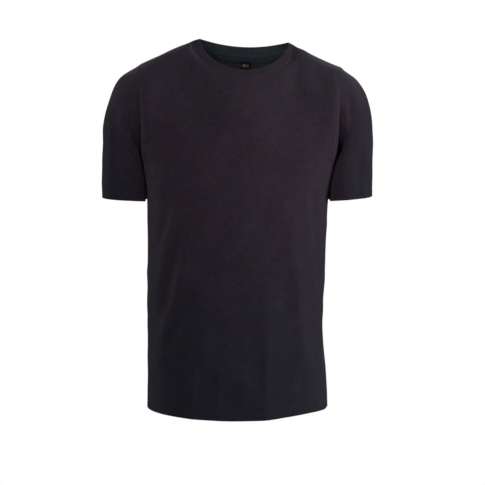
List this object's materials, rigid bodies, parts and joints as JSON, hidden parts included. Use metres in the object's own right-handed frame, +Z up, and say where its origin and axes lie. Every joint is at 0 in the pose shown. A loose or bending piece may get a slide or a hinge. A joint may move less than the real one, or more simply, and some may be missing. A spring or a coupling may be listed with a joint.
{
  "type": "crew neck t-shirt",
  "caption": "Plain short-sleeved crew neck T-shirt in jersey, hollow and filled out as worn, with a ribbed neckband, a taped back neck and a size tab.",
  "frame": {"origin": "on the torso's middle line, level with the neck ends of the shoulder seams, where a wearer's shoulders carry the shirt", "axes": "+Z up along the body, +X toward the wearer's left, the front faces -Y"},
  "size_m": [0.5244, 0.2488, 0.7235],
  "materials": {
    "jersey": "matt off-black cotton single jersey with a faint aubergine cast",
    "ribbing": "matt off-black cotton rib, folded double",
    "taping": "matt off-black cotton tape",
    "tabbing": "black woven satin"
  },
  "bodies": {
    "root": {"front": "jersey", "back": "jersey", "sleeve_left": "jersey", "sleeve_right": "jersey", "neck_rib": "ribbing", "neck_tape": "taping", "size_tab": "tabbing"}
  },
  "joints": []
}
